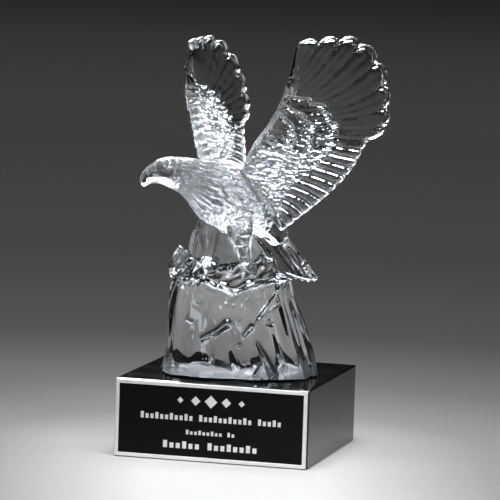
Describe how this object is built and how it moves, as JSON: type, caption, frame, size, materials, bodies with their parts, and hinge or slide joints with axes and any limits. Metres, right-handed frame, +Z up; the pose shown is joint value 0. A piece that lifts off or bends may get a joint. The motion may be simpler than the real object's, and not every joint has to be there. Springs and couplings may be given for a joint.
{
  "type": "crystal eagle sculpture",
  "caption": "Award sculpture: a clear cast-glass eagle with raised wings on a glass rock, on a black block with a blank-lettered front plate.",
  "frame": {"origin": "centre of the plinth's underside", "axes": "+Z up, -Y out of the plinth's front face with the nameplate, +X to the right seen from the front"},
  "size_m": [0.1358, 0.1352, 0.2385],
  "materials": {
    "clear_glass": "clear cast crystal, polished, with carved feathers and an ice-like rock",
    "black_lacquer": "black piano lacquer, mirror gloss",
    "black_plate": "satin black coating with a bright silver border and engraved silver strokes"
  },
  "bodies": {
    "root": {"crystal_eagle": "clear_glass", "plinth": "black_lacquer", "nameplate": "black_plate"}
  },
  "joints": []
}
